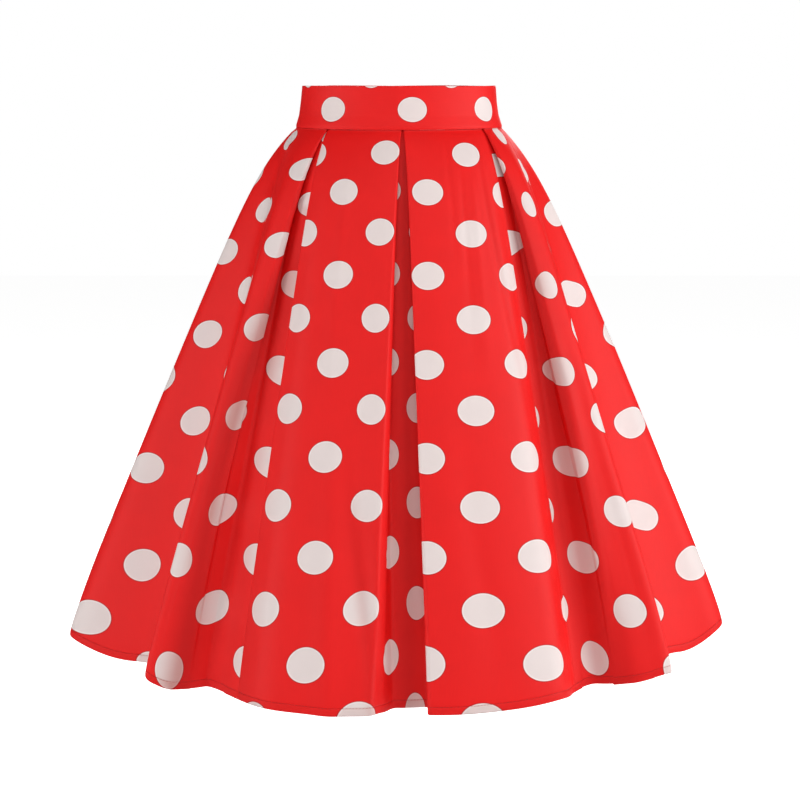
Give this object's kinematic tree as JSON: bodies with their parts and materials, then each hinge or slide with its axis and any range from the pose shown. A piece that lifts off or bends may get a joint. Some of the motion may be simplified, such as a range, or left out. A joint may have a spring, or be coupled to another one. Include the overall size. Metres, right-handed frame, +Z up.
{
  "type": "midi skirt",
  "caption": "High-waist A-line midi skirt worn by an unseen figure: fitted band, inverted centre pleat, knife pleats at the sides and back, turned hem and a centre back zip with a swinging tab.",
  "frame": {"origin": "centre of the waist, on the middle line of the waistband, where the wearer holds the skirt up", "axes": "+Z up; the front of the skirt faces -Y and the zip is at the back, +Y; +X is the wearer's left"},
  "size_m": [0.7966, 0.5817, 0.6905],
  "materials": {
    "dotted_cotton": "smooth matt cotton satin, bright red with off-white dots 36 mm across in a staggered repeat",
    "zip_tape": "matt red woven zip tape with a nylon coil",
    "zip_metal": "red lacquered zip slider and tab"
  },
  "bodies": {
    "skirt": {"waistband": "dotted_cotton", "front_centre": "dotted_cotton", "front_side_left": "dotted_cotton", "front_side_right": "dotted_cotton", "back_left": "dotted_cotton", "back_right": "dotted_cotton", "zip_tape": "zip_tape", "zip_slider": "zip_metal"},
    "pull_tab": {"zip_pull": "zip_metal"}
  },
  "joints": [
    {"name": "pull_tab_swing", "type": "hinge", "parent": "skirt", "child": "pull_tab", "pos_m": [0, 0.09319, 0.017], "axis": [1, 0, 0], "range_deg": [0, 150]}
  ]
}
